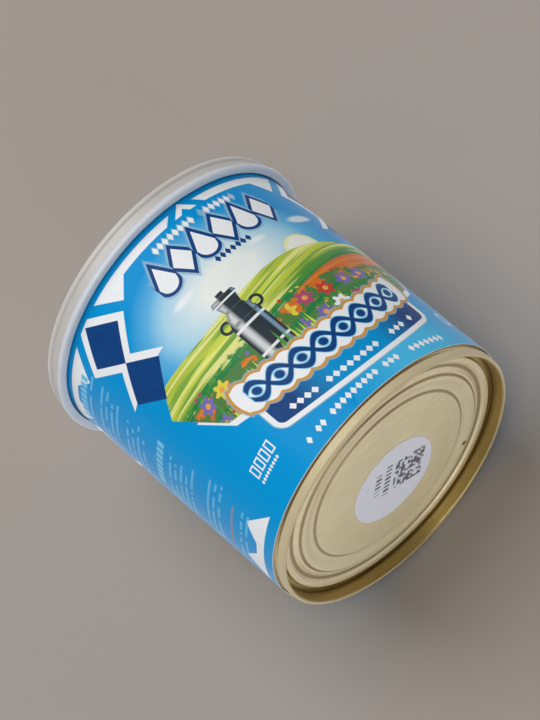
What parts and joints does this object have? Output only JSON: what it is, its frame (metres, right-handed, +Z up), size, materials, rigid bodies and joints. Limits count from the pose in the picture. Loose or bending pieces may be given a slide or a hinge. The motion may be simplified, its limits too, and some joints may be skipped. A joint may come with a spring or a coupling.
{
  "type": "condensed milk can",
  "caption": "Closed, labelled tin can lying on its side, with a beaded metal end, a round date sticker and a white plastic overcap.",
  "frame": {"origin": "on the floor, under the middle of the can's bounding box", "axes": "+Y along the can from its metal end towards its cap, level with the floor; +Z up; the front of the label faces up"},
  "size_m": [0.0814, 0.0868, 0.0812],
  "materials": {
    "tin": "bare tinplate",
    "gold_lacquer": "satin gold lacquer on brushed tinplate",
    "label_paper": "glossy printed paper",
    "sticker_paper": "matt white paper with a dark print",
    "cap_plastic": "white, slightly translucent polyethylene"
  },
  "bodies": {
    "root": {"can_body": "tin", "bottom_end": "gold_lacquer", "paper_label": "label_paper", "date_sticker": "sticker_paper", "overcap": "cap_plastic"}
  },
  "joints": []
}
